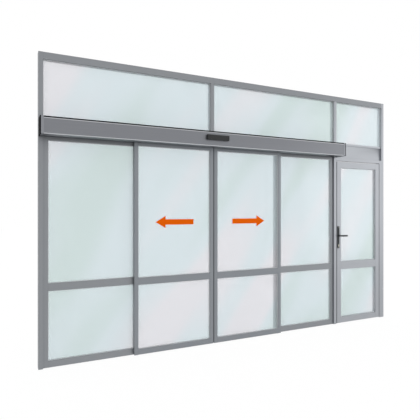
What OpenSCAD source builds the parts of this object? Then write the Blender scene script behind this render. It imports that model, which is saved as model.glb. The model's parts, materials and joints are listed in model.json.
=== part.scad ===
// Automatic double sliding door in a glazed screen, with three top lights and a hinged side door.
// X runs to the right along the front, Y runs from the front to the back, Z is up. The floor is at Z 0.
// The origin is the centre of the left jamb's foot. All sizes are in millimetres.

/* [Outer frame] */
// Overall width of the screen
total_w = 4530; // [4200:10:5400]
// Overall height of the screen
total_h = 3000; // [2800:10:3600]
// Depth of the outer frame, front to back
frame_d = 80; // [70:1:120]
// Face width of the jambs, the post and the mullion
jamb_w = 42; // [36:1:60]
// Height of the head rail
head_h = 67; // [50:1:90]

// Clear width of the side door's bay, between the post and the right jamb
door_bay = 824; // [780:4:1000]

/* [Transom] */
// Underside of the transom above the floor
beam_z = 2195; // [2000:5:2350]
// Height of the transom
beam_h = 193; // [185:1:230]
// Radius of the anchor holes through the jambs
anchor_r = 5.25; // [4:0.25:6.5]
// Distance between a jamb's two anchor holes
anchor_gap = 2000; // [1600:50:2400]
// How far the transom and the fixed screens stand behind the frame's front
set_back = 20; // [16:1:28]
// Height of the glazing lip along the transom's top
lip_h = 25; // [20:1:34]

/* [Glass] */
// Thickness of every pane
glass_t = 10; // [8:0.5:12]
// How far a pane reaches into its grooves
bite = 12; // [8:0.5:14]
// Gap between a pane's face and its groove
face_fit = 0.3; // [0.2:0.05:0.6]
// Gap between a pane's upright or top edge and its groove
edge_fit = 2; // [1:0.5:3]

/* [Fixed screens] */
// Width of each fixed screen
screen_w = 925; // [880:5:1150]
// Face width of a screen's stile next to the jamb or post
screen_outer = 46; // [40:1:60]
// Face width of a screen's stile next to the passage
screen_inner = 42; // [36:1:56]
// Height of the screens' bottom rails
foot_h = 64; // [50:1:90]
// Underside of the middle rails
mid_z = 730; // [600:5:900]
// Height of the middle rails
mid_h = 74; // [56:1:90]
// Height of the screens' top rails
screen_top = 27; // [22:1:60]

/* [Sliding leaves] */
// Thickness of a leaf, front to back
leaf_t = 42; // [38:1:50]
// Gap between a leaf and the fixed screen behind it
leaf_gap = 10; // [6:0.5:14]
// Width of a leaf's profiles as seen from the front
stile_w = 42; // [36:1:56]
// How far a leaf overlaps the fixed screen's passage edge
overlap = 50; // [44:1:70]
// Half the gap between the two leaves' meeting stiles
meet_half = 5; // [4:0.5:8]
// How far a meeting seal stands out of its stile
seal_out = 2.5; // [1.5:0.5:3]
// Gap between a leaf and the floor
floor_gap = 8; // [8:0.5:12]
// How far a leaf reaches into the operator
leaf_up = 35; // [30:1:45]
// How far a leaf stops short of the jamb or post when open
stop_gap = 15; // [8:1:40]

/* [Arrows] */
// Length of an arrow
arrow_l = 437; // [300:1:500]
// Length of an arrow's head
arrow_head = 111; // [80:1:140]
// Height of an arrow's head
arrow_h = 131; // [90:1:160]
// Height of an arrow's shaft
arrow_shaft = 58; // [40:1:80]
// Height of an arrow's centre above the floor
arrow_z = 1376; // [1200:1:1500]
// Distance from the meeting line to an arrow's tail
arrow_x = 245; // [200:1:300]

/* [Operator] */
// Height of the operator's cover
op_h = 163; // [150:1:180]
// Underside of the cover above the transom's underside
op_up = 5; // [0:1:20]
// How far the cover stands out from the frame's front
op_out = 170; // [150:1:200]
// Thickness of the sheet and of the end caps
skin = 3; // [2:0.5:4]
// Thickness of the carrier's plate
plate_t = 4.5; // [3:0.5:5]
// Radius of the cover's long front edges
op_r = 6; // [4:0.5:10]
// Distance from the meeting line back to the sensor's left end
sensor_at = 156; // [100:1:200]
// Underside of the sensor above the cover's underside
sensor_up = 62; // [40:1:90]
// Width of the sensor
sensor_w = 263; // [200:1:300]
// Height of the sensor
sensor_h = 57; // [40:1:70]
// How far the sensor stands out
sensor_out = 33; // [20:1:50]

/* [Running gear] */
// Radius of a roller's flanges
roller_r = 22; // [18:0.5:26]
// Depth of a roller's running groove
groove_d = 3; // [2:0.5:4]
// Radius of a roller's axle
axle_r = 5; // [4:0.5:6]
// Running clearance round axles, hinge pins and the lever's spindle
run_fit = 0.05; // [0.02:0.01:0.1]
// Gap between a roller and the rail it runs on
ride_fit = 0.3; // [0.2:0.1:0.5]
// Width of the rail's bead
bead_w = 6; // [5:0.5:7]
// Distance from a leaf's edge to the middle of its carriage
carriage_in = 150; // [110:1:200]
// Length of a carriage
carriage_l = 160; // [140:1:200]
// Distance between a carriage's two axles
wheelbase = 100; // [80:1:120]
// Distance from the jamb or post to a pulley's axis
pulley_in = 190; // [150:1:260]
// Radius of the belt's pulleys
pulley_r = 20; // [16:0.5:24]
// Width of the belt
belt_w = 12; // [10:1:14]

/* [Side door] */
// Gap round the side door's leaf
door_gap = 9; // [8:0.5:12]
// Face width of the side door's hinge-side frame
side_w = 38; // [34:1:50]
// Height of the side door's head frame
door_head_h = 41; // [38:1:60]
// Thickness of the side door
door_t = 60; // [56:1:70]
// Face width of the side door's stiles
door_stile = 69; // [60:1:90]
// Height of the side door's top rail
door_top = 81; // [60:1:110]
// Height of the side door's middle rail
door_mid_h = 102; // [80:1:120]
// Underside of the side door's middle rail
door_mid_z = 717; // [600:5:900]
// Height of the side door's bottom rail
door_foot = 74; // [60:1:110]
// How far the side door's glass stands behind its front
door_recess = 20; // [14:1:26]

/* [Hinges and handle] */
// Distance from the side door's foot to its lowest hinge
hinge_low = 252; // [150:1:320]
// Distance from the side door's top down to its highest hinge
hinge_high = 246; // [200:1:340]
// Radius of a hinge's knuckles
knuckle_r = 9; // [8:0.5:11]
// Radius of a hinge's pin
pin_r = 5; // [4:0.5:6]
// Length of one knuckle
knuckle_l = 50; // [40:1:60]
// Distance from the side door's lock edge to the handle's plates
hplate_in = 7; // [4:1:20]
// Thickness of the handle's plates
hplate_t = 6; // [4:0.5:8]
// Width of the handle's plates
hplate_w = 30; // [26:1:40]
// Height of the handle's plates
hplate_h = 290; // [240:1:300]
// Underside of the handle's plates
hplate_z = 998; // [900:1:1050]
// Height of the lever's spindle
lever_z = 1164; // [1100:1:1200]
// Height of the key cylinder's round part above the floor
cyl_z = 1043; // [1025:1:1070]
// Length of the lever, from the spindle to its tip
lever_l = 115; // [100:1:130]
// Radius of the lever's grip
lever_r = 9; // [8:0.5:11]
// How far the lever's grip stands out from the plate
lever_out = 46; // [40:1:60]

/* [Hidden] */
eps = 1;
post_x = total_w - 2 * jamb_w - door_bay;
mid_x = (jamb_w + post_x) / 2;
beam_top = beam_z + beam_h;
head_z = total_h - head_h;
light_y = set_back + 1;
screen_glass = set_back + 12;
leaf_back = set_back - leaf_gap;
leaf_front = leaf_back - leaf_t;
leaf_mid = leaf_front + leaf_t / 2;
leaf_glass = leaf_front + 12;
leaf_w = mid_x - meet_half - (jamb_w + screen_w - overlap);
left_x = jamb_w + screen_w - overlap;
right_x = mid_x + meet_half;
leaf_top = beam_z + leaf_up;
screen_r = post_x - screen_w;
bead_top = leaf_top + 34;
bead_y = leaf_mid - 12;
roll_z = bead_top + roller_r - groove_d + ride_fit;
hang_y = bead_y + bead_w / 2 - 16;
op_z = beam_z + op_up;
op_top = op_z + op_h;
op_end = post_x + jamb_w;
drive_y = hang_y - 22;
drive_z = roll_z + 26;
door_x = post_x + jamb_w + door_gap;
door_end = total_w - jamb_w - side_w - door_gap;
door_head_z = beam_z - door_head_h;
door_z = floor_gap;
door_up = door_head_z - floor_gap;
hinge_x = door_end + 5;
hinge_y = door_t + 12;
rebate_y = 43;
rebate_x = 18;
lever_x = door_x + hplate_in + hplate_w / 2;
hinge_span = (door_up - door_z - hinge_low - hinge_high) / 2;
grip_y = -hplate_t - lever_out;

// A box between two opposite corners, moved so that the origin is under the left jamb
module span(a, b) {
    translate([a[0] - jamb_w / 2, a[1] - frame_d / 2, a[2]])
        cube([b[0] - a[0], b[1] - a[1], b[2] - a[2]]);
}

// A round bar along Z, Y or X from a point
module bar_z(p, r, l) {
    translate([p[0] - jamb_w / 2, p[1] - frame_d / 2, p[2]])
        cylinder(r = r, h = l, $fn = 64);
}

module bar_y(p, r, l) {
    translate([p[0] - jamb_w / 2, p[1] - frame_d / 2, p[2]])
        rotate([-90, 0, 0])
            cylinder(r = r, h = l, $fn = 64);
}

module bar_x(p, r, l) {
    translate([p[0] - jamb_w / 2, p[1] - frame_d / 2, p[2]])
        rotate([0, 90, 0])
            cylinder(r = r, h = l, $fn = 64);
}

// A flat shape drawn in X and Z, standing from Y a to Y b
module upright(a, b) {
    translate([-jamb_w / 2, b - frame_d / 2, 0])
        rotate([90, 0, 0])
            linear_extrude(height = b - a)
                children();
}

// A section drawn in Y and Z, running from X a to X b
module run_x(a, b) {
    translate([a - jamb_w / 2, -frame_d / 2, 0])
        rotate([90, 0, 90])
            linear_extrude(height = b - a)
                children();
}

// A pane for a daylight opening, and the groove that holds it
module pane(x0, x1, z0, z1, y) {
    span([x0 - bite, y, z0 - bite], [x1 + bite, y + glass_t, z1 + bite]);
}

module groove(x0, x1, z0, z1, y) {
    span([x0 - bite - edge_fit, y - face_fit, z0 - bite],
        [x1 + bite + edge_fit, y + glass_t + face_fit, z1 + bite + edge_fit]);
}

// Outer frame
module light_grooves() {
    groove(jamb_w, mid_x - jamb_w / 2, beam_top, head_z, light_y);
    groove(mid_x + jamb_w / 2, post_x, beam_top, head_z, light_y);
    groove(op_end, total_w - jamb_w, beam_top, head_z, light_y);
}

// Two anchor holes through a jamb, behind the fixed screens
module anchor_holes(x) {
    for (z = [total_h / 2 - anchor_gap / 2, total_h / 2 + anchor_gap / 2])
        bar_x([x - eps, frame_d - anchor_r - 4.25, z], anchor_r, jamb_w + 2 * eps);
}

module left_jamb() {
    color("#8d8f93")
        difference() {
            span([0, 0, 0], [jamb_w, frame_d, total_h]);
            anchor_holes(0);
            light_grooves();
        }
}

module right_jamb() {
    color("#8d8f93")
        difference() {
            span([total_w - jamb_w, 0, 0], [total_w, frame_d, total_h]);
            anchor_holes(total_w - jamb_w);
            light_grooves();
        }
}

module head_rail() {
    color("#8d8f93")
        difference() {
            span([jamb_w, 0, head_z], [total_w - jamb_w, frame_d, total_h]);
            light_grooves();
        }
}

module door_post() {
    color("#8d8f93")
        difference() {
            span([post_x, 0, 0], [op_end, frame_d, head_z]);
            span([op_end - 20, rebate_y - 7, -eps], [op_end + eps, frame_d + eps, door_head_z + 20]);
            light_grooves();
        }
}

module top_mullion() {
    color("#8d8f93")
        difference() {
            span([mid_x - jamb_w / 2, 0, beam_top], [mid_x + jamb_w / 2, frame_d, head_z]);
            light_grooves();
        }
}

// The transom's section: a box with a glazing lip standing forward along its top
module beam_section() {
    translate([set_back, beam_z])
        square([frame_d - set_back, beam_h]);
    translate([set_back - 10, beam_top - lip_h])
        square([frame_d - set_back + 10, lip_h]);
}

module transom_beam() {
    color("#8d8f93")
        difference() {
            run_x(jamb_w, post_x)
                beam_section();
            light_grooves();
        }
}

module door_transom() {
    color("#8d8f93")
        difference() {
            run_x(op_end, total_w - jamb_w)
                beam_section();
            light_grooves();
        }
}

module door_head() {
    color("#8d8f93")
        difference() {
            span([op_end, 0, door_head_z], [total_w - jamb_w - side_w, frame_d, beam_z]);
            span([op_end - eps, rebate_y - 7, door_head_z - eps],
                [total_w - jamb_w - side_w + eps, frame_d + eps, door_head_z + 20]);
        }
}

module door_side_frame() {
    color("#8d8f93")
        span([total_w - jamb_w - side_w, 0, 0], [total_w - jamb_w, door_t, beam_z]);
}

module top_panes() {
    color("#d5dfe2") {
        pane(jamb_w, mid_x - jamb_w / 2, beam_top, head_z, light_y);
        pane(mid_x + jamb_w / 2, post_x, beam_top, head_z, light_y);
        pane(op_end, total_w - jamb_w, beam_top, head_z, light_y);
    }
}

// Fixed screens. Each has an outer stile, an inner stile, three rails and two panes.
module screen_openings(a, b) {
    groove(a, b, foot_h, mid_z, screen_glass);
    groove(a, b, mid_z + mid_h, beam_z - screen_top, screen_glass);
}

module screen_stile(x0, x1, a, b) {
    difference() {
        span([x0, set_back, 0], [x1, set_back + leaf_t, beam_z]);
        screen_openings(a, b);
    }
}

module screen_rail(a, b, z0, z1) {
    difference() {
        span([a, set_back, z0], [b, set_back + leaf_t, z1]);
        screen_openings(a, b);
    }
}

module screen_rail_set(a, b) {
    screen_rail(a, b, 0, foot_h);
    screen_rail(a, b, mid_z, mid_z + mid_h);
    screen_rail(a, b, beam_z - screen_top, beam_z);
}

module screen_pane_set(a, b) {
    pane(a, b, foot_h, mid_z, screen_glass);
    pane(a, b, mid_z + mid_h, beam_z - screen_top, screen_glass);
}

scr_la = jamb_w + screen_outer;
scr_lb = jamb_w + screen_w - screen_inner;
scr_ra = screen_r + screen_inner;
scr_rb = post_x - screen_outer;

module screen_stiles() {
    color("#8b9093") {
        screen_stile(jamb_w, scr_la, scr_la, scr_lb);
        screen_stile(scr_lb, jamb_w + screen_w, scr_la, scr_lb);
        screen_stile(screen_r, scr_ra, scr_ra, scr_rb);
        screen_stile(scr_rb, post_x, scr_ra, scr_rb);
    }
}

module screen_rails() {
    color("#8b9093") {
        screen_rail_set(scr_la, scr_lb);
        screen_rail_set(scr_ra, scr_rb);
    }
}

module screen_panes() {
    color("#d5dfe2") {
        screen_pane_set(scr_la, scr_lb);
        screen_pane_set(scr_ra, scr_rb);
    }
}

// Floor guides: a bracket on each fixed screen with a fin that runs in the leaf's bottom groove
module floor_guide(x0, x1) {
    span([x0, leaf_mid - 3, 0], [x1, set_back, 3]);
    span([x0, set_back - 4, 0], [x1, set_back, 30]);
    span([x0, leaf_mid - 3, 0], [x1, leaf_mid + 3, floor_gap + 14]);
}

module floor_guides() {
    color("#6f7377") {
        floor_guide(jamb_w + screen_w - 37, jamb_w + screen_w - 5);
        floor_guide(screen_r + 5, screen_r + 37);
    }
}

// Operator
module carrier() {
    color("#7c8084")
        run_x(jamb_w, post_x) {
            translate([set_back - plate_t, op_z])
                square([plate_t, op_h - skin]);
            translate([skin - op_out + 17, op_top - skin - 4])
                square([set_back + op_out - skin - 17, 4]);
        }
}

module running_rail() {
    color("#a4a8ab")
        run_x(jamb_w + 8, post_x - 8) {
            translate([set_back - plate_t - 6, leaf_top + 15])
                square([6, 30]);
            translate([bead_y, leaf_top + 20])
                square([set_back - plate_t - bead_y - 3, 8]);
            translate([bead_y - bead_w / 2, leaf_top + 20])
                square([bead_w, bead_top - leaf_top - 20]);
        }
}

// The cover's section: a front, a top and a bottom lip with rounded front edges
module cover_section() {
    y0 = -op_out;
    difference() {
        union() {
            translate([y0 + op_r, op_z])
                square([op_out - op_r, op_h]);
            translate([y0, op_z + op_r])
                square([op_r + eps, op_h - 2 * op_r]);
            translate([y0 + op_r, op_z + op_r])
                circle(r = op_r, $fn = 64);
            translate([y0 + op_r, op_top - op_r])
                circle(r = op_r, $fn = 64);
        }
        translate([y0 + skin, op_z + skin])
            square([op_out, op_h - 2 * skin]);
        translate([leaf_front - 13, op_z - eps])
            square([op_out, skin + 2 * eps]);
    }
}

module cover() {
    color("#85878b")
        run_x(skin, op_end - skin)
            cover_section();
}

module end_cap_section() {
    y0 = -op_out;
    translate([y0 + op_r, op_z])
        square([op_out - op_r, op_h]);
    translate([y0, op_z + op_r])
        square([op_r + eps, op_h - 2 * op_r]);
    translate([y0 + op_r, op_z + op_r])
        circle(r = op_r, $fn = 64);
    translate([y0 + op_r, op_top - op_r])
        circle(r = op_r, $fn = 64);
}

module end_caps() {
    color("#6f7276") {
        run_x(0, skin)
            end_cap_section();
        run_x(op_end - skin, op_end)
            end_cap_section();
    }
}

sensor_x = mid_x - sensor_at;
sensor_z = op_z + sensor_up;

module sensor() {
    color("#26282b")
        difference() {
            span([sensor_x, -op_out - sensor_out, sensor_z],
                [sensor_x + sensor_w, -op_out, sensor_z + sensor_h]);
            span([sensor_x + 14, -op_out - sensor_out - eps, sensor_z - eps],
                [sensor_x + 15.5, -op_out - sensor_out + 1, sensor_z + sensor_h + eps]);
            span([sensor_x + sensor_w - 15.5, -op_out - sensor_out - eps, sensor_z - eps],
                [sensor_x + sensor_w - 14, -op_out - sensor_out + 1, sensor_z + sensor_h + eps]);
        }
}

motor_x = post_x - pulley_in;
idler_x = jamb_w + pulley_in;

module motor() {
    color("#4b4e52") {
        span([motor_x - 45, drive_y - 80, drive_z - 32], [motor_x + 45, drive_y - 8, op_top - skin - 4]);
        bar_x([motor_x - 245, drive_y - 44, drive_z - 2], 30, 210);
        bar_y([motor_x, drive_y - 10, drive_z], pulley_r - 2, belt_w + 10);
    }
}

module idler() {
    color("#5b5e62") {
        span([idler_x - 20, drive_y - 14, drive_z - 16], [idler_x + 20, drive_y - 8, op_top - skin - 4]);
        bar_y([idler_x, drive_y - 10, drive_z], pulley_r - 2, belt_w + 10);
    }
}

module belt() {
    color("#1d1e20")
        upright(drive_y, drive_y + belt_w)
            difference() {
                union() {
                    translate([idler_x, drive_z - pulley_r])
                        square([motor_x - idler_x, 2 * pulley_r]);
                    translate([idler_x, drive_z])
                        circle(r = pulley_r, $fn = 64);
                    translate([motor_x, drive_z])
                        circle(r = pulley_r, $fn = 64);
                }
                translate([idler_x, drive_z - pulley_r + 2])
                    square([motor_x - idler_x, 2 * pulley_r - 4]);
                translate([idler_x, drive_z])
                    circle(r = pulley_r - 2, $fn = 64);
                translate([motor_x, drive_z])
                    circle(r = pulley_r - 2, $fn = 64);
            }
}

module control_unit() {
    color("#3a3c40") {
        span([mid_x + 180, drive_y - 80, drive_z - 60], [mid_x + 520, drive_y - 8, op_top - skin - 4]);
        span([mid_x - 560, drive_y - 80, drive_z - 50], [mid_x - 340, drive_y - 8, op_top - skin - 4]);
    }
}

// Sliding leaves
module leaf_openings(x0) {
    groove(x0 + stile_w, x0 + leaf_w - stile_w, foot_h + 1, mid_z, leaf_glass);
    groove(x0 + stile_w, x0 + leaf_w - stile_w, mid_z + mid_h - 1, beam_z - screen_top, leaf_glass);
    span([x0 - eps, leaf_mid - 8, floor_gap - eps], [x0 + leaf_w + eps, leaf_mid + 8, floor_gap + 20]);
}

module leaf_stile(x0, x) {
    difference() {
        span([x, leaf_front, floor_gap], [x + stile_w, leaf_back, leaf_top]);
        leaf_openings(x0);
    }
}

module leaf_rail(x0, z0, z1) {
    difference() {
        span([x0 + stile_w, leaf_front, z0], [x0 + leaf_w - stile_w, leaf_back, z1]);
        leaf_openings(x0);
    }
}

module leaf_stiles(x0) {
    color("#86898d") {
        leaf_stile(x0, x0);
        leaf_stile(x0, x0 + leaf_w - stile_w);
    }
}

module leaf_rails(x0) {
    color("#86898d") {
        leaf_rail(x0, floor_gap, foot_h + 1);
        leaf_rail(x0, mid_z, mid_z + mid_h - 1);
        leaf_rail(x0, beam_z - screen_top, leaf_top);
    }
}

module leaf_panes(x0) {
    color("#dde5e8") {
        pane(x0 + stile_w, x0 + leaf_w - stile_w, foot_h + 1, mid_z, leaf_glass);
        pane(x0 + stile_w, x0 + leaf_w - stile_w, mid_z + mid_h - 1, beam_z - screen_top, leaf_glass);
    }
}

// A carriage: a foot on the leaf's top, an upright plate and two roller axles
module carriage(x) {
    half = carriage_l / 2;
    span([x - half, hang_y - 6, leaf_top], [x + half, leaf_mid + 8, leaf_top + 6]);
    span([x - half, hang_y - 6, leaf_top], [x + half, hang_y, roll_z + roller_r + 2]);
    for (dx = [-wheelbase / 2, wheelbase / 2]) {
        bar_y([x + dx, hang_y - eps, roll_z], axle_r, 21);
        bar_y([x + dx, hang_y - eps, roll_z], axle_r + 3, 3);
    }
}

module carriages(x0) {
    color("#9a9ea2") {
        carriage(x0 + carriage_in);
        carriage(x0 + leaf_w - carriage_in);
    }
}

// A roller: two flanges and a running groove on one hub
module roller(x) {
    difference() {
        union() {
            bar_y([x, hang_y + 2, roll_z], roller_r, 6);
            bar_y([x, hang_y + 7, roll_z], roller_r - groove_d, 10);
            bar_y([x, hang_y + 16, roll_z], roller_r, 4);
        }
        bar_y([x, hang_y, roll_z], axle_r + run_fit, 24);
    }
}

module rollers(x0) {
    color("#e8e6df")
        for (x = [x0 + carriage_in, x0 + leaf_w - carriage_in])
            for (dx = [-wheelbase / 2, wheelbase / 2])
                roller(x + dx);
}

module meeting_seal(x0, x1) {
    color("#1b1c1e")
        span([x0, leaf_mid - 6, floor_gap], [x1, leaf_mid + 6, leaf_top]);
}

// An arrow stuck on the glass, pointing along dir from its tail
module arrow(dir) {
    color("#e85d0a")
        upright(leaf_glass - 0.5, leaf_glass)
            translate([mid_x + dir * arrow_x, arrow_z])
                polygon([[0, -arrow_shaft / 2], [dir * (arrow_l - arrow_head), -arrow_shaft / 2],
                    [dir * (arrow_l - arrow_head), -arrow_h / 2], [dir * arrow_l, 0],
                    [dir * (arrow_l - arrow_head), arrow_h / 2],
                    [dir * (arrow_l - arrow_head), arrow_shaft / 2], [0, arrow_shaft / 2]]);
}

module left_leaf_stiles() { leaf_stiles(left_x); }
module left_leaf_rails() { leaf_rails(left_x); }
module left_leaf_panes() { leaf_panes(left_x); }
module left_leaf_carriages() { carriages(left_x); }
module left_leaf_rollers() { rollers(left_x); }
module left_leaf_seal() { meeting_seal(mid_x - meet_half, mid_x - meet_half + seal_out); }
module left_leaf_arrow() { arrow(-1); }
module right_leaf_stiles() { leaf_stiles(right_x); }
module right_leaf_rails() { leaf_rails(right_x); }
module right_leaf_panes() { leaf_panes(right_x); }
module right_leaf_carriages() { carriages(right_x); }
module right_leaf_rollers() { rollers(right_x); }
module right_leaf_seal() { meeting_seal(mid_x + meet_half - seal_out, mid_x + meet_half); }
module right_leaf_arrow() { arrow(1); }

// Side door
door_a = door_x + door_stile;
door_b = door_end - door_stile;

module door_cuts() {
    groove(door_a, door_b, door_z + door_foot, door_mid_z, door_recess);
    groove(door_a, door_b, door_mid_z + door_mid_h, door_up - door_top, door_recess);
    bar_y([lever_x, -eps, lever_z], 9, door_t + 2 * eps);
    bar_y([lever_x, -eps, cyl_z], 9, door_t + 2 * eps);
    span([lever_x - 5.5, -eps, cyl_z - 25], [lever_x + 5.5, door_t + eps, cyl_z]);
}

// The lock stile and the top rail carry a flange that shuts against the frame's rebate
module door_stiles() {
    color("#9b9fa3") {
        difference() {
            union() {
                span([door_x, 0, door_z], [door_a, door_t, door_up]);
                span([door_x - rebate_x, rebate_y, door_z], [door_x + eps, door_t, door_up]);
            }
            door_cuts();
        }
        difference() {
            span([door_b, 0, door_z], [door_end, door_t, door_up]);
            door_cuts();
        }
    }
}

module door_rail(z0, z1) {
    difference() {
        span([door_a, 0, z0], [door_b, door_t, z1]);
        door_cuts();
    }
}

module door_rails() {
    color("#9b9fa3") {
        door_rail(door_z, door_z + door_foot);
        door_rail(door_mid_z, door_mid_z + door_mid_h);
        door_rail(door_up - door_top, door_up);
    }
}

module door_panes() {
    color("#d8e1e3") {
        pane(door_a, door_b, door_z + door_foot, door_mid_z, door_recess);
        pane(door_a, door_b, door_mid_z + door_mid_h, door_up - door_top, door_recess);
    }
}

// Handle plates on both faces, with a bore for the spindle and a cut-out for the cylinder
module door_plate(y0, y1) {
    difference() {
        span([lever_x - hplate_w / 2, y0, hplate_z], [lever_x + hplate_w / 2, y1, hplate_z + hplate_h]);
        bar_y([lever_x, y0 - eps, lever_z], pin_r + run_fit, y1 - y0 + 2 * eps);
        bar_y([lever_x, y0 - eps, cyl_z], 8.7, y1 - y0 + 2 * eps);
        span([lever_x - 5.2, y0 - eps, cyl_z - 24.7], [lever_x + 5.2, y1 + eps, cyl_z]);
    }
}

module door_plates() {
    color("#5a5d61") {
        door_plate(-hplate_t, 0);
        door_plate(door_t, door_t + hplate_t);
    }
}

module door_cylinder() {
    color("#b9b7ae")
        difference() {
            union() {
                bar_y([lever_x, -hplate_t - 3, cyl_z], 8.5, door_t + 2 * hplate_t + 6);
                span([lever_x - 5, -hplate_t - 3, cyl_z - 24.5], [lever_x + 5, door_t + hplate_t + 3, cyl_z]);
            }
            span([lever_x - 0.8, -hplate_t - 3 - eps, cyl_z - 4.5], [lever_x + 0.8, -1, cyl_z + 4.5]);
        }
}

hinge_zs = [for (k = [0, 1, 2]) door_z + hinge_low + k * hinge_span];

// The side door's half of a hinge: a plate on its back and a bored knuckle over the pin
module door_hinges() {
    color("#7b7f83")
        for (z = hinge_zs)
            difference() {
                union() {
                    bar_z([hinge_x, hinge_y, z + knuckle_l + 0.5], knuckle_r, knuckle_l);
                    span([hinge_x - 38, door_t, z + knuckle_l + 0.5],
                        [hinge_x - 2, door_t + 5, z + 2 * knuckle_l + 0.5]);
                }
                bar_z([hinge_x, hinge_y, z], pin_r + run_fit, 3 * knuckle_l);
            }
}

// The frame's half: a plate on the side frame's back, a solid knuckle and the pin
module frame_hinges() {
    color("#7b7f83")
        for (z = hinge_zs) {
            bar_z([hinge_x, hinge_y, z], knuckle_r, knuckle_l);
            bar_z([hinge_x, hinge_y, z + 1], pin_r, 2 * knuckle_l - 4);
            span([hinge_x + 2, door_t, z], [hinge_x + 36, door_t + 5, z + knuckle_l]);
        }
}

// Levers on both faces and the spindle that joins them
module lever(y0, y1, grip) {
    difference() {
        union() {
            bar_y([lever_x, y0, lever_z], lever_r - 1.5, y1 - y0);
            bar_x([lever_x - lever_r, grip, lever_z], lever_r, lever_l + lever_r);
        }
        bar_y([lever_x, -hplate_t - 26, lever_z], pin_r + 0.02, door_t + 2 * hplate_t + 52);
    }
}

module levers() {
    color("#4f5256") {
        lever(grip_y, -hplate_t - 0.5, grip_y);
        lever(door_t + hplate_t + 0.5, door_t - grip_y, door_t - grip_y);
    }
}

module spindle() {
    color("#808488")
        bar_y([lever_x, -hplate_t - 26, lever_z], pin_r, door_t + 2 * hplate_t + 52);
}

left_jamb();
right_jamb();
head_rail();
door_post();
top_mullion();
transom_beam();
door_transom();
door_head();
door_side_frame();
top_panes();
screen_stiles();
screen_rails();
screen_panes();
floor_guides();
carrier();
running_rail();
cover();
end_caps();
sensor();
motor();
idler();
belt();
control_unit();
left_leaf_stiles();
left_leaf_rails();
left_leaf_panes();
left_leaf_carriages();
left_leaf_rollers();
left_leaf_seal();
left_leaf_arrow();
right_leaf_stiles();
right_leaf_rails();
right_leaf_panes();
right_leaf_carriages();
right_leaf_rollers();
right_leaf_seal();
right_leaf_arrow();
door_stiles();
door_rails();
door_panes();
door_plates();
door_cylinder();
door_hinges();
frame_hinges();
levers();
spindle();
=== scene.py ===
"""Automatic sliding door in a glazed screen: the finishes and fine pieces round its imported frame."""

import json
import math

import bmesh
import bpy
import numpy as np
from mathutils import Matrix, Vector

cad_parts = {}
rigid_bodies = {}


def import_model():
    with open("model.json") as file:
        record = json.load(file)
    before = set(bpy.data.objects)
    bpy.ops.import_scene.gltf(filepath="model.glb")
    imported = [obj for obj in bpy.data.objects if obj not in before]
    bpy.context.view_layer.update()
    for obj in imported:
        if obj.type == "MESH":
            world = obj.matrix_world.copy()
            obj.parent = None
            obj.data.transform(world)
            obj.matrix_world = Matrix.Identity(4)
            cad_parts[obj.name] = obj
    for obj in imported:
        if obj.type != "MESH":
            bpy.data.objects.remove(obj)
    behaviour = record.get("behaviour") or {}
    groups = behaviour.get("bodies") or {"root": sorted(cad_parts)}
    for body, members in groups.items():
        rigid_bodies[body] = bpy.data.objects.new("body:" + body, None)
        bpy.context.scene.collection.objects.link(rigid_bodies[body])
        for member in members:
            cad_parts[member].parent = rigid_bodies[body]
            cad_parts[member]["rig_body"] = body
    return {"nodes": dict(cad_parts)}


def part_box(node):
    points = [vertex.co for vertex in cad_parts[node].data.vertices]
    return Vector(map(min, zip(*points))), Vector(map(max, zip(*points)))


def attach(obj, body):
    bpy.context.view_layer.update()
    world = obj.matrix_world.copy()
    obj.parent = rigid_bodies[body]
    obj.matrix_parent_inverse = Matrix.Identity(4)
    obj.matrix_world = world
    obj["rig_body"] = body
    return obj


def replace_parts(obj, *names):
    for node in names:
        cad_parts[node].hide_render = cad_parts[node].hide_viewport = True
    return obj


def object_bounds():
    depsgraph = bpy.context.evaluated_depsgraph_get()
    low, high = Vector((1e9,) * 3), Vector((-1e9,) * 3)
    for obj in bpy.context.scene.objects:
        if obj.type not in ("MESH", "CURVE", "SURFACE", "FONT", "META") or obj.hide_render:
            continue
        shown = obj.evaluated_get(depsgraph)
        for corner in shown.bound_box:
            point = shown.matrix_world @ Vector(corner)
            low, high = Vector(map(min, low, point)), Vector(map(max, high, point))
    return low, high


bl_info = {
    "name": "Automatic sliding door",
    "version": (1, 0, 0),
    "blender": (4, 5, 0),
    "location": "3D View > Sidebar > Sliding Door",
    "description": "Builds the finishes and fine pieces of an automatic sliding door",
    "category": "Object",
}

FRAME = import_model()
CAD_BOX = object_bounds()
MM = 0.001
# where the frame's front face stands in Y
FRAME_FRONT = -0.040


def linear(code):
    """Turns an sRGB hex colour into linear red, green and blue: below 0.04045 divided by 12.92, else the 2.4
    power curve."""
    c = np.array([int(code[i : i + 2], 16) for i in (1, 3, 5)]) / 255.0
    return tuple(np.where(c <= 0.04045, c / 12.92, ((c + 0.055) / 1.055) ** 2.4))


def colour(name, code, description):
    """A colour property whose default is an sRGB hex colour."""
    return bpy.props.FloatVectorProperty(
        name=name, description=description, subtype="COLOR", size=3, min=0.0, max=1.0, default=linear(code)
    )


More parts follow.
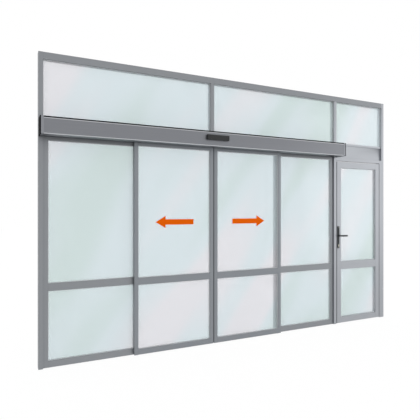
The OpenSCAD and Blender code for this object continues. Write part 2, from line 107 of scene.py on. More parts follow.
class DoorFinishes(bpy.types.PropertyGroup):
    """Colours and sheens of the door's materials"""

    frame_grey: colour(
        "Frame grey", "#909397", "Anodised grey of the outer frame, the transom and the fixed screens"
    )
    leaf_grey: colour("Leaf grey", "#8B8F94", "Anodised grey of the sliding leaves")
    cover_grey: colour("Cover grey", "#84868B", "Anodised grey of the operator's cover")
    # lighter than the frame grey: painted light from the right on the side door and its bay
    lit_right_bay_grey: colour("Side door grey", "#A8ABB0", "Anodised grey of the side door and its bay, lightened as painted light")
    # pale grey standing for painted highlights along the cover's edges
    highlight_bead_grey: colour("Bead grey", "#C6C8CB", "Pale beads, painted highlights along the cover's edges")
    # the caps' dark plastic darkened further as painted shade on their end faces
    shade_dark_cap_grey: colour("End cap grey", "#232426", "Moulded plastic of the operator's end caps, darkened as painted shade")
    handle_grey: colour("Handle grey", "#2C2F32", "Coated metal of the lever and its plates")
    black: colour("Black", "#1B1C1E", "Moulded housings and the cover's seal")
    orange: colour("Arrow orange", "#FF6B08", "Film of the arrows")
    gasket_grey: colour("Gasket grey", "#E2E6E8", "Silicone gaskets round the glass")
    # these three tints colour the painted reflection bands across the panes
    painted_reflection_blue: colour("Glass blue-grey", "#F0FBFF", "Cooler painted reflection in the satin glass")
    painted_reflection_green: colour("Glass green-grey", "#E7F5F4", "Greener painted reflection in the satin glass")
    painted_reflection_white: colour("Glass white", "#FBFBFF", "Palest painted reflection in the satin glass")
    metal_roughness: bpy.props.FloatProperty(
        name="Metal roughness",
        description="How satin the aluminium is",
        default=0.42,
        min=0.0,
        max=1.0,
        subtype="FACTOR",
    )


class DoorSizes(bpy.types.PropertyGroup):
    """Sizes of the fine pieces, in metres"""

    edge: bpy.props.FloatProperty(
        name="Eased edge",
        description="Width of the eased edges of the aluminium profiles",
        default=0.0012,
        min=0.0002,
        max=0.003,
        unit="LENGTH",
    )
    gasket: bpy.props.FloatProperty(
        name="Gasket face",
        description="Face width of the gaskets round the glass",
        default=0.004,
        min=0.002,
        max=0.008,
        unit="LENGTH",
    )
    bite: bpy.props.FloatProperty(
        name="Glass bite",
        description="How far the panes reach into their grooves",
        default=0.012,
        min=0.008,
        max=0.014,
        unit="LENGTH",
    )
    rim: bpy.props.FloatProperty(
        name="Cover rim",
        description="Width of the trim round each end of the operator's cover",
        default=0.024,
        min=0.01,
        max=0.05,
        unit="LENGTH",
    )
    lever: bpy.props.FloatProperty(
        name="Lever height",
        description="Height of the lever's grip",
        default=0.022,
        min=0.016,
        max=0.026,
        unit="LENGTH",
    )


def add(tree, kind, inputs=None, **settings):
    """Adds a node with its settings. An input is a value, or a socket that is linked to it."""
    node = tree.nodes.new(kind)
    for key, value in settings.items():
        setattr(node, key, value)
    for key, value in (inputs or {}).items():
        if isinstance(value, bpy.types.NodeSocket):
            tree.links.new(value, node.inputs[key])
        else:
            node.inputs[key].default_value = value
    return node


def new_material(name):
    """An empty node material and its tree."""
    material = bpy.data.materials.new(name)
    material.use_nodes = True
    material.node_tree.nodes.clear()
    return material, material.node_tree


def finishes():
    """The scene's colours and sheens."""
    return bpy.context.scene.door_finishes


def anodised_aluminium(name, tint, along):
    """Extruded aluminium, etched satin and anodised grey: a soft, even metal sheen with faint drawing lines
    along the profile."""
    material, tree = new_material(name)
    place = add(tree, "ShaderNodeTexCoord")
    # drawing lines a few millimetres apart and metres long, drawn coarser than the real 0.2 mm ones so that
    # they show
    across, length = 1 / 0.004, 1 / 1.2
    scale = tuple(length if axis == along else across for axis in "XYZ")
    stretch = add(tree, "ShaderNodeMapping", {"Vector": place.outputs["Object"], "Scale": scale})
    lines = add(
        tree,
        "ShaderNodeTexNoise",
        {"Vector": stretch.outputs["Vector"], "Scale": 1.0, "Detail": 3.0, "Roughness": 0.6},
    )
    cloud = add(
        tree, "ShaderNodeTexNoise", {"Vector": place.outputs["Object"], "Scale": 1 / 0.35, "Detail": 2.0}
    )
    low = tuple(c * 0.93 for c in tint) + (1.0,)
    high = tuple(min(1.0, c * 1.07) for c in tint) + (1.0,)
    tone = add(tree, "ShaderNodeMix", {"Factor": lines.outputs["Fac"], "A": low, "B": high}, data_type="RGBA")
    tone_out = tone.outputs["Result"] if tone.outputs["Result"].type == "RGBA" else tone.outputs[2]
    rough = add(
        tree,
        "ShaderNodeMapRange",
        {
            "Value": cloud.outputs["Fac"],
            "To Min": finishes().metal_roughness - 0.05,
            "To Max": finishes().metal_roughness + 0.05,
        },
    )
    bump = add(tree, "ShaderNodeBump", {"Height": lines.outputs["Fac"], "Strength": 0.05, "Distance": 0.0002})
    shader = add(
        tree,
        "ShaderNodeBsdfPrincipled",
        {
            "Base Color": tone_out,
            "Metallic": 0.85,
            "Roughness": rough.outputs["Result"],
            "Normal": bump.outputs["Normal"],
        },
    )
    add(tree, "ShaderNodeOutputMaterial", {"Surface": shader.outputs["BSDF"]})
    return material


def satin_glass(name):
    """Laminated safety glass with a satin interlayer: milky, with broad soft bands of cool and pale tint across
    the sheet that are painted reflections, not a tint of the interlayer."""
    material, tree = new_material(name)
    place = add(tree, "ShaderNodeTexCoord")
    # painted reflections: soft bands about half a metre wide, leaning across the sheet
    lean = add(
        tree,
        "ShaderNodeMapping",
        {
            "Vector": place.outputs["Object"],
            "Rotation": (0.0, math.radians(34), 0.0),
            "Scale": (0.55, 1.0, 3.2),
        },
        vector_type="TEXTURE",
    )
    bands = add(
        tree,
        "ShaderNodeTexNoise",
        {"Vector": lean.outputs["Vector"], "Scale": 1.0, "Detail": 1.0, "Roughness": 0.4},
    )
    ramp = add(tree, "ShaderNodeValToRGB", {"Fac": bands.outputs["Fac"]})
    stops = ramp.color_ramp
    stops.interpolation = "EASE"
    # the ramp's tints are painted reflections
    stops.elements[0].position, stops.elements[0].color = 0.34, (*finishes().painted_reflection_green, 1.0)
    stops.elements[1].position, stops.elements[1].color = 0.66, (*finishes().painted_reflection_white, 1.0)
    middle = stops.elements.new(0.5)
    middle.color = (*finishes().painted_reflection_blue, 1.0)
    shader = add(
        tree,
        "ShaderNodeBsdfPrincipled",
        {
            "Base Color": ramp.outputs["Color"],
            "Roughness": 0.1,
            "IOR": 1.5,
            "Transmission Weight": 0.68,
            "Specular IOR Level": 0.5,
        },
    )
    add(tree, "ShaderNodeOutputMaterial", {"Surface": shader.outputs["BSDF"]})
    return material


def moulded_plastic(name, tint, roughness=0.45, grain=0.0012, gloss=0.5):
    """Injection-moulded plastic with a fine spark-eroded grain: dark, with a broad soft sheen. A low gloss is
    for matt, open surfaces."""
    material, tree = new_material(name)
    place = add(tree, "ShaderNodeTexCoord")
    speck = add(
        tree, "ShaderNodeTexNoise", {"Vector": place.outputs["Object"], "Scale": 1 / grain, "Detail": 2.0}
    )
    bump = add(tree, "ShaderNodeBump", {"Height": speck.outputs["Fac"], "Strength": 0.12, "Distance": 0.0002})
    shade = add(
        tree,
        "ShaderNodeMapRange",
        {"Value": speck.outputs["Fac"], "To Min": roughness - 0.06, "To Max": roughness + 0.06},
    )
    shader = add(
        tree,
        "ShaderNodeBsdfPrincipled",
        {
            "Base Color": (*tint, 1.0),
            "Roughness": shade.outputs["Result"],
            "IOR": 1.5,
            "Specular IOR Level": gloss,
            "Normal": bump.outputs["Normal"],
        },
    )
    add(tree, "ShaderNodeOutputMaterial", {"Surface": shader.outputs["BSDF"]})
    return material


def plated_steel(name, tint, roughness=0.3):
    """Zinc-plated steel: a bright metal with faint cloudy patches."""
    material, tree = new_material(name)
    place = add(tree, "ShaderNodeTexCoord")
    cloud = add(
        tree, "ShaderNodeTexNoise", {"Vector": place.outputs["Object"], "Scale": 1 / 0.03, "Detail": 4.0}
    )
    shade = add(
        tree,
        "ShaderNodeMapRange",
        {"Value": cloud.outputs["Fac"], "To Min": roughness - 0.08, "To Max": roughness + 0.12},
    )
    shader = add(
        tree,
        "ShaderNodeBsdfPrincipled",
        {"Base Color": (*tint, 1.0), "Metallic": 1.0, "Roughness": shade.outputs["Result"]},
    )
    add(tree, "ShaderNodeOutputMaterial", {"Surface": shader.outputs["BSDF"]})
    return material


def smoked_acrylic(name):
    """Smoked acrylic: near black, polished, with a clear gloss."""
    material, tree = new_material(name)
    place = add(tree, "ShaderNodeTexCoord")
    cloud = add(
        tree, "ShaderNodeTexNoise", {"Vector": place.outputs["Object"], "Scale": 1 / 0.02, "Detail": 2.0}
    )
    shade = add(tree, "ShaderNodeMapRange", {"Value": cloud.outputs["Fac"], "To Min": 0.05, "To Max": 0.12})
    shader = add(
        tree,
        "ShaderNodeBsdfPrincipled",
        {"Base Color": (0.012, 0.012, 0.014, 1.0), "Roughness": shade.outputs["Result"], "IOR": 1.49},
    )
    add(tree, "ShaderNodeOutputMaterial", {"Surface": shader.outputs["BSDF"]})
    return material


def dress(obj, material):
    """Gives an object one material."""
    obj.data.materials.clear()
    obj.data.materials.append(material)


def eased(node, width, material):
    """A CAD node's shape as one merged mesh, its flat faces joined and its edges eased by width, standing for
    the node."""
    source = FRAME["nodes"][node]
    work = bmesh.new()
    work.from_mesh(source.data)
    bmesh.ops.remove_doubles(work, verts=work.verts, dist=1e-6)
    bmesh.ops.dissolve_limit(work, angle_limit=math.radians(2), verts=work.verts, edges=work.edges)
    mesh = bpy.data.meshes.new(node + "_piece")
    work.to_mesh(mesh)
    work.free()
    obj = bpy.data.objects.new(node + "_piece", mesh)
    bpy.context.scene.collection.objects.link(obj)
    dress(obj, material)
    ease = obj.modifiers.new("Eased edges", "BEVEL")
    ease.width = width
    ease.segments = 2
    ease.limit_method = "ANGLE"
    ease.angle_limit = math.radians(40)
    ease.harden_normals = True
    for face in mesh.polygons:
        face.use_smooth = True
    mesh.set_sharp_from_angle(angle=math.radians(30))
    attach(obj, source["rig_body"])
    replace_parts(obj, node)
    return obj


def piece(name, points, faces, body, material, slot, sharp=35.0):
    """A mesh object from points and faces, its faces turned outwards and shaded smooth up to sharp degrees."""
    mesh = bpy.data.meshes.new(name)
    mesh.from_pydata(np.asarray(points, float).tolist(), [], [tuple(int(i) for i in f) for f in faces])
    work = bmesh.new()
    work.from_mesh(mesh)
    bmesh.ops.remove_doubles(work, verts=work.verts, dist=1e-6)
    bmesh.ops.recalc_face_normals(work, faces=work.faces)
    work.to_mesh(mesh)
    work.free()
    for face in mesh.polygons:
        face.use_smooth = True
    mesh.set_sharp_from_angle(angle=math.radians(sharp))
    obj = bpy.data.objects.new(name, mesh)
    bpy.context.scene.collection.objects.link(obj)
    dress(obj, material)
    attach(obj, body)
    return obj


def tube_faces(stations, around, closed=False):
    """Faces of a grid of stations by around points, joined round each station, and end to end if closed, else
    with flat ends."""
    s = np.arange(stations if closed else stations - 1)[:, None]
    a = np.arange(around)[None, :]
    near, far = s * around, ((s + 1) % stations) * around
    sides = np.stack([near + a, near + (a + 1) % around, far + (a + 1) % around, far + a], -1).reshape(-1, 4)
    faces = [tuple(f) for f in sides]
    if not closed:
        faces.append(tuple(range(around - 1, -1, -1)))
        faces.append(tuple((stations - 1) * around + i for i in range(around)))
    return faces


def together(parts):
    """Several (points, faces) made one."""
    points, faces, start = [], [], 0
    for p, f in parts:
        points.append(np.asarray(p, float).reshape(-1, 3))
        faces += [tuple(i + start for i in face) for face in f]
        start += len(points[-1])
    return np.concatenate(points), faces


def swept_x(section, stations):
    """A (y, z) section carried along X: point = (x, y, z), moved towards the section's middle by each station's
    inset. stations is a list of (x, inset)."""
    section = np.asarray(section, float)
    middle = (section.min(0) + section.max(0)) / 2
    half = (section.max(0) - section.min(0)) / 2
    rows = []
    for x, inset in stations:
        shrunk = middle + (section - middle) * (1 - inset / half)
        rows.append(np.column_stack([np.full(len(section), x), shrunk]))
    return np.concatenate(rows), tube_faces(len(stations), len(section))


def rounded_section(low, high, radius, steps=6):
    """A rectangle from low to high with quarter-circle corners: corner centre plus radius times (cos, sin) of
    90 degrees at a time."""
    turn = np.linspace(0, np.pi / 2, steps)
    out = []
    for k, (y, z) in enumerate(((high[0], high[1]), (low[0], high[1]), (low[0], low[1]), (high[0], low[1]))):
        centre = np.array([y - radius * (1 if k in (0, 3) else -1), z - radius * (1 if k in (0, 1) else -1)])
        angle = turn + k * np.pi / 2
        out.append(centre + radius * np.column_stack([np.cos(angle), np.sin(angle)]))
    return np.concatenate(out)


def ring(low, high, section):
    """A section carried round a rectangle in X and Z with mitred corners. section rows are (inset from the
    rectangle, y)."""
    section = np.asarray(section, float)
    rows = []
    for cx, cz, sx, sz in (
        (low[0], low[1], 1, 1), (high[0], low[1], -1, 1), (high[0], high[1], -1, -1), (low[0], high[1], 1, -1)
    ):
        rows.append(np.column_stack([cx + sx * section[:, 0], section[:, 1], cz + sz * section[:, 0]]))
    return np.concatenate(rows), tube_faces(4, len(section), closed=True)


def turned(profile, place, axis, around=24):
    """A profile of (radius, height) turned about an axis from a place: place + height * axis + radius * (cos *
    u + sin * v)."""
    profile, place, axis = np.asarray(profile, float), np.asarray(place, float), np.asarray(axis, float)
    u = np.cross(axis, (0.0, 0.0, 1.0) if abs(axis[2]) < 0.5 else (1.0, 0.0, 0.0))
    u /= np.linalg.norm(u)
    v = np.cross(axis, u)
    t = np.linspace(0, 2 * np.pi, around, endpoint=False)
    rim = np.cos(t)[:, None] * u + np.sin(t)[:, None] * v
    points = place + profile[:, 1, None, None] * axis + profile[:, 0, None, None] * rim[None]
    return points.reshape(-1, 3), tube_faces(len(profile), around)


def screw(place, axis, radius=0.004):
    """A countersunk screw head: a low dome with a hexagon socket, turned about the screw's axis."""
    r = radius
    head = [
        (r, 0.0),
        (r, 0.0004),
        (0.92 * r, 0.0009),
        (0.62 * r, 0.0012),
        (0.45 * r, 0.0012),
        (0.42 * r, 0.0011),
        (0.4 * r, 0.0003),
        (0.002 * r, 0.0002),
    ]
    return turned(head, place, axis, 18)


def islands(node):
    """The (low, high) boxes of a CAD node's separate solids, largest first. Points at one place are one spot,
    and each spot takes the lowest label among its neighbours until no label changes."""
    mesh = FRAME["nodes"][node].data
    points = np.empty(len(mesh.vertices) * 3)
    mesh.vertices.foreach_get("co", points)
    points = points.reshape(-1, 3)
    ends = np.empty(len(mesh.edges) * 2, dtype=np.int32)
    mesh.edges.foreach_get("vertices", ends)
    spots, spot = np.unique(points.round(6), axis=0, return_inverse=True)
    spot = spot.reshape(-1)
    ends = spot[ends].reshape(-1, 2)
    label = np.arange(len(spots))
    while True:
        lowest = label[ends].min(1)
        spread = label.copy()
        np.minimum.at(spread, ends[:, 0], lowest)
        np.minimum.at(spread, ends[:, 1], lowest)
        if (spread == label).all():
            break
        label = spread
    groups = [points[label[spot] == k] for k in np.unique(label)]
    return sorted([(g.min(0), g.max(0)) for g in groups], key=lambda box: -np.prod(box[1] - box[0]))


UPRIGHT = ["left_jamb", "right_jamb", "door_post", "top_mullion", "door_side_frame", "screen_stiles"]
# frame pieces round the side door; they take the lighter side door grey, painted light from the right
LIT_RIGHT_BAY = ["right_jamb", "door_post", "door_transom", "door_head", "door_side_frame"]
LEVEL = ["head_rail", "transom_beam", "door_transom", "door_head", "screen_rails"]


class DOOR_OT_profiles(bpy.types.Operator):
    """Eases and finishes the aluminium profiles"""

    bl_idname = "door.profiles"
    bl_label = "Aluminium profiles"

    def execute(self, context):
        look, size = context.scene.door_finishes, context.scene.door_sizes
        frame = {
            a: anodised_aluminium(f"Anodised aluminium, frame, along {a}", look.frame_grey, a) for a in "XZ"
        }
        leaf = {
            a: anodised_aluminium(f"Anodised aluminium, leaves, along {a}", look.leaf_grey, a) for a in "XZ"
        }
        # the side door grey is the frame's grey lightened as painted light from the right
        side = {
            a: anodised_aluminium(f"Anodised aluminium, side door, along {a}", look.lit_right_bay_grey, a) for a in "XZ"
        }
        for axis, nodes in (("Z", UPRIGHT), ("X", LEVEL)):
            for node in nodes:
                metal = side[axis] if node in LIT_RIGHT_BAY else frame[axis]
                eased(node, size.edge, metal)
        for hand in ("left", "right"):
            eased(hand + "_leaf_stiles", size.edge, leaf["Z"])
            eased(hand + "_leaf_rails", size.edge, leaf["X"])
        eased("door_stiles", size.edge, side["Z"])
        eased("door_rails", size.edge, side["X"])
        return {"FINISHED"}


class DOOR_OT_gaskets(bpy.types.Operator):
    """Lays a silicone gasket round both faces of every pane: a quarter-round bead carried round the daylight
    opening"""

    bl_idname = "door.gaskets"
    bl_label = "Glazing gaskets"

    def execute(self, context):
        size = context.scene.door_sizes
        silicone = moulded_plastic("Silicone gasket", context.scene.door_finishes.gasket_grey, 0.6, 0.002)
        w = size.gasket
        for node in ("top_panes", "screen_panes", "left_leaf_panes", "right_leaf_panes", "door_panes"):
            parts = []
            for low, high in islands(node):
                a, b = (low[0] + size.bite, low[2] + size.bite), (high[0] - size.bite, high[2] - size.bite)
                for y, way in ((low[1], -1), (high[1], 1)):
                    bead = [
                        (0.0, y),
                        (w, y),
                        (w * 0.92, y + way * w * 0.4),
                        (w * 0.7, y + way * w * 0.7),
                        (w * 0.4, y + way * w * 0.92),
                        (0.0, y + way * w),
                    ]
                    parts.append(ring(a, b, bead))
            points, faces = together(parts)
            piece(
                node.replace("panes", "gaskets"),
                points,
                faces,
                FRAME["nodes"][node]["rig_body"],
                silicone,
                "seal_rubber",
                50,
            )
        return {"FINISHED"}


class DOOR_OT_operator(bpy.types.Operator):
    """Builds the operator's cover, its end trims and its sensor as sections carried along X"""

    bl_idname = "door.operator"
    bl_label = "Operator cover and sensor"

    def execute(self, context):
        look, size = context.scene.door_finishes, context.scene.door_sizes
        metal = anodised_aluminium("Anodised aluminium, cover", look.cover_grey, "X")
        # near-black end plates: dark plastic darkened further as painted shade on the end faces
        cap = moulded_plastic("Moulded dark grey plastic, painted shade", look.shade_dark_cap_grey, 0.85, 0.0012, 0.03)
        # a lighter copy of the cover's metal: a painted highlight round each end of the cover
        highlight_trim_metal = anodised_aluminium(
            "Anodised aluminium, end trims, painted highlight", tuple(min(1.0, c * 1.22) for c in look.cover_grey), "Z"
        )
        # pale grey beads: painted highlights along the cover's top and lower edges
        highlight_bead_metal = anodised_aluminium("Aluminium edge beads, painted highlight", look.highlight_bead_grey, "X")
        # black strip over the cover's top round: painted shade along the cover's top edge
        rubber = moulded_plastic("Black rubber, cover seal painting shade", look.black, 0.8, 0.002, 0.05)
        eased("carrier", size.edge * 0.5, metal)
        low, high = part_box("cover")
        y0, z0, z1 = low[1], low[2], high[2]
        skin, r, flange = 3 * MM, 7 * MM, 9 * MM
        turn = np.linspace(0, np.pi / 2, 7)
        # outer line: lip, lower round, front face, upper round, then the top
        foot = np.column_stack([y0 + r - r * np.sin(turn), z0 + r - r * np.cos(turn)])
        crown = np.column_stack([y0 + r - r * np.cos(turn), z1 - r + r * np.sin(turn)])
        # the underside lip ends 45 mm in front of the frame
        lip = FRAME_FRONT - 45 * MM
        outer = [(lip, z0), *foot, *crown, (high[1], z1)]
        inner = [
            (high[1], z1 - skin),
            (y0 + r, z1 - skin),
            (y0 + skin, z1 - r),
            (y0 + skin, z0 + r),
            (y0 + r, z0 + skin),
            (lip, z0 + skin),
        ]
        ends = [(low[0], 0.0), (high[0], 0.0)]
        shell = piece("operator_cover", *swept_x(outer + inner, ends), "frame", metal, "cover_metal")
        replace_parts(shell, "cover")
        # end trims: a band round the cover's end in a lighter copy of the cover's metal, a painted highlight,
        # and a near-black plate that closes it, darkened as painted shade
        out = 1.6 * MM
        band_out = [
            (lip, z0 - out),
            *(foot + (foot - [y0 + r, z0 + r]) / r * out),
            *(crown + (crown - [y0 + r, z1 - r]) / r * out),
            (high[1], z1 + out),
        ]
        band_in = [(high[1], z1), *crown[::-1], *foot[::-1], (lip, z0)]
        trims, plates = [], []
        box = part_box("end_caps")
        rounded = rounded_section((y0 - 1.6 * out, z0 - 1.6 * out), (high[1], z1 + 1.6 * out), r)
        for x, way in ((box[0][0], 1), (box[1][0], -1)):
            trims.append(
                swept_x(band_out + band_in, [(x + way * flange, 0.0), (x + way * (flange + size.rim), 0.0)])
            )
            plates.append(
                swept_x(
                    rounded, [(x + way * 0.0002, 0.0012), (x + way * 0.0012, 0.0002), (x + way * flange, 0.0)]
                )
            )
        piece("operator_end_trims", *together(trims), "frame", highlight_trim_metal, "cover_metal")
        # between the trims: a black rubber seal over the top round, whose dark line is painted shade, and pale
        # beads under it and round the lower edge, whose light lines are painted highlights
        run = [(box[0][0] + flange + size.rim, 0.0), (box[1][0] - flange - size.rim, 0.0)]
        over, drop = 0.9 * MM, 6 * MM
        # the seal's dark band paints the shade line along the cover's top edge
        seal = [
            (y0 - over, z1 - r - drop),
            *(crown + (crown - [y0 + r, z1 - r]) / r * over),
            *crown[::-1],
            (y0, z1 - r - drop),
        ]
        piece("operator_shade_seal", *swept_x(seal, run), "frame", rubber, "seal_rubber")
        swell = np.linspace(-np.pi / 2, np.pi / 2, 9)
        upper = np.column_stack(
            [y0 - 1.1 * MM * np.cos(swell), z1 - r - drop - 3.6 * MM + 3.4 * MM * np.sin(swell)]
        )
        lower = [*(foot + (foot - [y0 + r, z0 + r]) / r * over), *foot[::-1]]
        beads = together(
            [
                swept_x(
                    [
                        *upper,
                        (y0 + 0.5 * MM, z1 - r - drop - 0.2 * MM),
                        (y0 + 0.5 * MM, z1 - r - drop - 7.0 * MM),
                    ],
                    run,
                ),
                swept_x(lower, run),
            ]
        )
        piece("operator_highlight_beads", *beads, "frame", highlight_bead_metal, "cover_metal")
        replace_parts(piece("operator_end_plates", *together(plates), "frame", cap, "cap_plastic"), "end_caps")
        # sensor: a rounded housing between two end pieces, with a smoked window
        black = moulded_plastic("Moulded black plastic, sensor", look.black, 0.38)
        smoked = smoked_acrylic("Smoked acrylic")
        low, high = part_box("sensor")
        end, round_r = 14 * MM, 7 * MM
        section = rounded_section((low[1], low[2]), (high[1], high[2]), round_r)
        # one closed sweep: eased ends, and a V joint a little way in from each
        ease = [(low[0], 1.2 * MM), (low[0] + 0.8 * MM, 0.2 * MM), (low[0] + 1.6 * MM, 0.0)]
        joint = [(low[0] + end - 1.2 * MM, 0.0), (low[0] + end, 1.2 * MM), (low[0] + end + 1.2 * MM, 0.0)]
        half = ease + joint
        housing = swept_x(section, half + [(low[0] + high[0] - x, inset) for x, inset in half[::-1]])
        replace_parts(piece("sensor_housing", *housing, "frame", black, "dark_plastic"), "sensor")
        window = rounded_section(
            (low[1] - 0.6 * MM, low[2] + 12 * MM), (low[1] + 4 * MM, high[2] - 12 * MM), 1.5 * MM
        )
        piece(
            "sensor_window",
            *swept_x(
                window,
                [
                    (low[0] + 26 * MM, 1 * MM),
                    (low[0] + 27 * MM, 0.0),
                    (high[0] - 27 * MM, 0.0),
                    (high[0] - 26 * MM, 1 * MM),
                ],
            ),
            "frame",
            smoked,
            "dark_plastic",
        )
        return {"FINISHED"}


def grip_points(start, out, reach, height, depth, neck):
    """A lever: an oval section carried out along Y from start, round a quarter bend, and along X, closing at
    its tip.
    The path is a line, an arc of the bend's radius, and a line; the section is neck wide at first and eases to
    depth by height."""
    bend = 16 * MM
    # the tip closes as a half oval: four stations at these shares of its length
    shares = np.array([0.35, 0.7, 0.9, 1.0])
    way = math.copysign(1.0, out)
    length = abs(out)
    t = np.linspace(0, np.pi / 2, 9)
    path = [
        np.array([[0.0, 0.0], [0.0, 0.5 * (length - bend)], [0.0, length - bend]]),
        np.column_stack([bend - bend * np.cos(t), length - bend + bend * np.sin(t)])[1:],
    ]
    run = np.linspace(bend, reach, 8)[1:]
    path.append(np.column_stack([run, np.full(len(run), length)]))
    tip = shares * depth * 0.5
    path.append(np.column_stack([reach + tip, np.full(4, length)]))
    path = np.concatenate(path)
    ahead = np.gradient(path, axis=0)
    ahead /= np.linalg.norm(ahead, axis=1)[:, None]
    n = len(path)
    grow = np.clip((np.arange(n) - 2) / 9.0, 0, 1)
    grow = grow * grow * (3 - 2 * grow)
    wide = neck + (depth - neck) * grow
    tall = neck + (height - neck) * grow
    close = np.ones(n)
    close[-4:] = np.sqrt(1 - np.minimum(shares, 0.995) ** 2)
    around = np.linspace(0, 2 * np.pi, 24, endpoint=False)
    side = np.column_stack([ahead[:, 1], -ahead[:, 0]])
    flat = (
        path[:, None, :]
        + side[:, None, :] * (wide * close / 2)[:, None, None] * np.cos(around)[None, :, None]
    )
    up = (tall * close / 2)[:, None] * np.sin(around)[None, :]
    points = np.stack([start[0] + flat[..., 0], start[1] + way * flat[..., 1], start[2] + up], -1)
    return points.reshape(-1, 3), tube_faces(n, 24)


class DOOR_OT_handle(bpy.types.Operator):
    """Builds the levers as an oval carried along a bent path, their roses, and the plates' screws"""

    bl_idname = "door.handle"
    bl_label = "Lever handle"

    def execute(self, context):
        look, size = context.scene.door_finishes, context.scene.door_sizes
        coat = moulded_plastic("Powder-coated zinc, handle", look.handle_grey, 0.42, 0.0016, 0.3)
        steel = plated_steel("Nickel-plated brass", linear("#C4C1B6"), 0.22)
        eased("door_plates", 1.6 * MM, coat)
        eased("door_cylinder", 0.5 * MM, steel)
        low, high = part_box("door_plates")
        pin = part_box("spindle")
        x, z = (pin[0][0] + pin[1][0]) / 2, (pin[0][2] + pin[1][2]) / 2
        levers, roses, screws = [], [], []
        grip_radius, grip_depth, neck, tip_length = 9 * MM, 14.5 * MM, 15.5 * MM, 7.2 * MM
        screw_inset = 14 * MM
        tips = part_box("levers")
        for face, way, far in ((low[1], -1, tips[0][1] + grip_radius), (high[1], 1, tips[1][1] - grip_radius)):
            start = (x, face + way * 0.5 * MM, z)
            levers.append(
                grip_points(start, far - start[1], tips[1][0] - x - tip_length, size.lever, grip_depth, neck)
            )
            rose = [
                (0.0125, 0.0),
                (0.0125, 0.0012),
                (0.0119, 0.0022),
                (0.0108, 0.0027),
                (0.0084, 0.0028),
                (0.0083, 0.0),
            ]
            roses.append(turned(rose, (x, face, z), (0.0, float(way), 0.0), 40))
            for high_z in (low[2] + screw_inset, high[2] - screw_inset):
                screws.append(screw((x, face, high_z), (0.0, float(way), 0.0), 0.0042))
        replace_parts(piece("lever_grips", *together(levers), "lever", coat, "handle_metal", 50), "levers")
        piece("lever_roses", *together(roses), "side_door", coat, "handle_metal", 40)
        piece("handle_screws", *together(screws), "side_door", steel, "gear_steel", 40)
        dress(FRAME["nodes"]["spindle"], steel)
        return {"FINISHED"}


class DOOR_OT_hinges(bpy.types.Operator):
    """Eases the hinges and sets the screws in their plates"""

    bl_idname = "door.hinges"
    bl_label = "Hinges"

    def execute(self, context):
        coat = moulded_plastic("Powder-coated steel, hinges", linear("#5B5E62"), 0.4, 0.0016)
        steel = plated_steel("Stainless steel", linear("#B9BABC"), 0.28)
        knuckle, plate, plate_height = 20 * MM, 5 * MM, 50 * MM
        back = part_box("door_rails")[1][1] + plate
        for node, body in (("door_hinges", "side_door"), ("frame_hinges", "frame")):
            eased(node, 0.8 * MM, coat)
            screws = []
            for low, high in islands(node):
                plate_x = (low[0] + high[0] - knuckle * (1 if body == "side_door" else -1)) / 2
                for share in (0.22, 0.78):
                    screws.append(
                        screw(
                            (plate_x, back, low[2] + share * min(high[2] - low[2], plate_height)),
                            (0.0, 1.0, 0.0),
                            0.0045,
                        )
                    )
            piece(node + "_screws", *together(screws), body, steel, "gear_steel", 40)
        return {"FINISHED"}


class DOOR_OT_glass(bpy.types.Operator):
    """Finishes the panes and the arrows on them"""

    bl_idname = "door.glass"
    bl_label = "Glass and arrows"

    def execute(self, context):
        glass = satin_glass("Satin laminated glass")
        for node in ("top_panes", "screen_panes", "left_leaf_panes", "right_leaf_panes", "door_panes"):
            dress(FRAME["nodes"][node], glass)
        film = moulded_plastic("Cast orange film", context.scene.door_finishes.orange, 0.8, 0.002, 0.04)
        for node in ("left_leaf_arrow", "right_leaf_arrow"):
            dress(FRAME["nodes"][node], film)
        return {"FINISHED"}


class DOOR_OT_fittings(bpy.types.Operator):
    """Eases and finishes the running gear, the floor guides and the meeting seals"""

    bl_idname = "door.fittings"
    bl_label = "Running gear and seals"

    def execute(self, context):
        look = context.scene.door_finishes
        black = moulded_plastic("Moulded black plastic", look.black)
        rubber = moulded_plastic("Black rubber", linear("#232427"), 0.7, 0.002)
        grey_rubber = moulded_plastic("Grey rubber, meeting seals", linear("#777B7F"), 0.7, 0.002)
        coat = moulded_plastic("Powder-coated motor housing", linear("#4A4D51"), 0.45, 0.0016)
        steel = plated_steel("Zinc-plated steel", linear("#B4B6B9"))
        white = moulded_plastic("Natural nylon", linear("#E4E2DA"), 0.35)
        for node, material in {
            "belt": rubber,
            "running_rail": steel,
        }.items():
            dress(FRAME["nodes"][node], material)
        for node, ease, material, slot in (
            ("motor", 2.0, coat, "motor_body"),
            ("control_unit", 2.5, black, "dark_plastic"),
            ("idler", 0.8, steel, "gear_steel"),
            ("floor_guides", 0.6, steel, "gear_steel"),
        ):
            eased(node, ease * MM, material)
        for hand in ("left", "right"):
            eased(hand + "_leaf_carriages", 0.8 * MM, steel)
            dress(FRAME["nodes"][hand + "_leaf_rollers"], white)
            # a ribbed strip carried up the meeting stile: three round ribs on a flat back
            low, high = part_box(hand + "_leaf_seal")
            back, front = (low[0], high[0]) if hand == "left" else (high[0], low[0])
            y = np.linspace(low[1], high[1], 25)
            rib = back + (front - back) * (
                0.45 + 0.55 * np.abs(np.sin(np.pi * 3 * (y - low[1]) / (high[1] - low[1])))
            )
            section = np.concatenate([np.column_stack([rib, y]), [[back, high[1]], [back, low[1]]]])
            points = np.concatenate(
                [np.column_stack([section, np.full(len(section), z)]) for z in (low[2], high[2])]
            )
            strip = piece(
                hand + "_meeting_seal",
                points,
                tube_faces(2, len(section)),
                hand + "_leaf",
                grey_rubber,
                "seal_rubber",
                60,
            )
            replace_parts(strip, hand + "_leaf_seal")
        return {"FINISHED"}


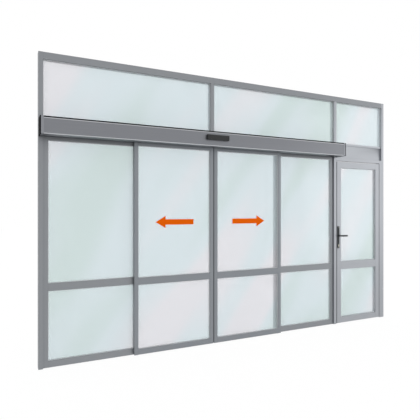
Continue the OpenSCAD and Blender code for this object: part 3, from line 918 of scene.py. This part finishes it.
class DOOR_OT_stage(bpy.types.Operator):
    """Sets the floor, the studio light and the camera"""

    bl_idname = "door.stage"
    bl_label = "Stage"

    def execute(self, context):
        scene = context.scene
        low = CAD_BOX[0]
        # floor: white, and lit for the camera so that only the shadow shows
        mesh = bpy.data.meshes.new("floor")
        half = 30.0
        mesh.from_pydata(
            [(-half, -half, low[2]), (half, -half, low[2]), (half, half, low[2]), (-half, half, low[2])],
            [],
            [(0, 1, 2, 3)],
        )
        floor = bpy.data.objects.new("floor", mesh)
        scene.collection.objects.link(floor)
        material, tree = new_material("White studio floor")
        matt = add(tree, "ShaderNodeBsdfDiffuse", {"Color": (0.8, 0.8, 0.8, 1.0)})
        glow = add(tree, "ShaderNodeEmission", {"Color": (1.0, 1.0, 1.0, 1.0), "Strength": 1.03})
        ray = add(tree, "ShaderNodeLightPath")
        seen = add(
            tree,
            "ShaderNodeMath",
            {0: ray.outputs["Is Camera Ray"], 1: ray.outputs["Is Glossy Ray"]},
            operation="MAXIMUM",
        )
        seen = add(
            tree,
            "ShaderNodeMath",
            {0: seen.outputs[0], 1: ray.outputs["Is Transmission Ray"]},
            operation="MAXIMUM",
        )
        share = add(tree, "ShaderNodeMath", {0: seen.outputs[0], 1: 0.93}, operation="MULTIPLY")
        both = add(tree, "ShaderNodeMixShader", {0: share.outputs[0], 1: matt.outputs[0], 2: glow.outputs[0]})
        add(tree, "ShaderNodeOutputMaterial", {"Surface": both.outputs[0]})
        dress(floor, material)
        # world: white where it is seen, softer where it lights
        world = bpy.data.worlds.new("Studio")
        scene.world = world
        world.use_nodes = True
        tree = world.node_tree
        tree.nodes.clear()
        ray = add(tree, "ShaderNodeLightPath")
        seen = add(
            tree,
            "ShaderNodeMath",
            {0: ray.outputs["Is Camera Ray"], 1: ray.outputs["Is Glossy Ray"]},
            operation="MAXIMUM",
        )
        seen = add(
            tree,
            "ShaderNodeMath",
            {0: seen.outputs[0], 1: ray.outputs["Is Transmission Ray"]},
            operation="MAXIMUM",
        )
        level = add(tree, "ShaderNodeMapRange", {"Value": seen.outputs[0], "To Min": 0.8, "To Max": 1.0})
        sky = add(
            tree, "ShaderNodeBackground", {"Color": (1.0, 1.0, 1.0, 1.0), "Strength": level.outputs["Result"]}
        )
        add(tree, "ShaderNodeOutputWorld", {"Surface": sky.outputs[0]})
        # a tall soft box beyond the right end, in front of the doors
        place, aim, size, power = (8.2, -3.6, 2.2), (4.0, 0.0, 1.3), (3.4, 3.6), 27.0
        lamp = bpy.data.lights.new("right_softbox", "AREA")
        lamp.shape, lamp.size, lamp.size_y, lamp.energy = "RECTANGLE", size[0], size[1], power
        holder = bpy.data.objects.new("right_softbox", lamp)
        scene.collection.objects.link(holder)
        holder.location = place
        way = np.array(aim) - np.array(place)
        holder.rotation_euler = (
            math.acos(-way[2] / np.linalg.norm(way)), 0.0, math.atan2(way[1], way[0]) - math.pi / 2
        )
        lens = bpy.data.cameras.new("camera")
        lens.lens, lens.sensor_width = 36.6, 36.0
        camera = bpy.data.objects.new("camera", lens)
        scene.collection.objects.link(camera)
        left = CAD_BOX[0][0]
        camera.location = (left - 0.335, FRAME_FRONT - 4.312, low[2] + 1.504)
        camera.rotation_euler = (math.radians(90), 0.0, math.radians(-26.34))
        scene.camera = camera
        scene.view_settings.view_transform = "Standard"
        return {"FINISHED"}


class DOOR_PT_panel(bpy.types.Panel):
    """Lists the door's pieces, finishes and sizes"""

    bl_idname = "DOOR_PT_panel"
    bl_label = "Sliding Door"
    bl_space_type = "VIEW_3D"
    bl_region_type = "UI"
    bl_category = "Sliding Door"

    def draw(self, context):
        for step in STEPS:
            self.layout.operator(step.bl_idname)
        for group in (context.scene.door_finishes, context.scene.door_sizes):
            for name in group.bl_rna.properties.keys():
                if name not in ("rna_type", "name"):
                    self.layout.prop(group, name)


STEPS = (
    DOOR_OT_profiles,
    DOOR_OT_glass,
    DOOR_OT_gaskets,
    DOOR_OT_operator,
    DOOR_OT_handle,
    DOOR_OT_hinges,
    DOOR_OT_fittings,
    DOOR_OT_stage,
)
CLASSES = (DoorFinishes, DoorSizes, *STEPS, DOOR_PT_panel)


def register():
    for item in CLASSES:
        bpy.utils.register_class(item)
    bpy.types.Scene.door_finishes = bpy.props.PointerProperty(type=DoorFinishes)
    bpy.types.Scene.door_sizes = bpy.props.PointerProperty(type=DoorSizes)


def unregister():
    del bpy.types.Scene.door_sizes
    del bpy.types.Scene.door_finishes
    for item in reversed(CLASSES):
        bpy.utils.unregister_class(item)


def main():
    """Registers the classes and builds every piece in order."""
    register()
    for step in STEPS:
        group, name = step.bl_idname.split(".")
        getattr(getattr(bpy.ops, group), name)()


if __name__ == "__main__":
    main()
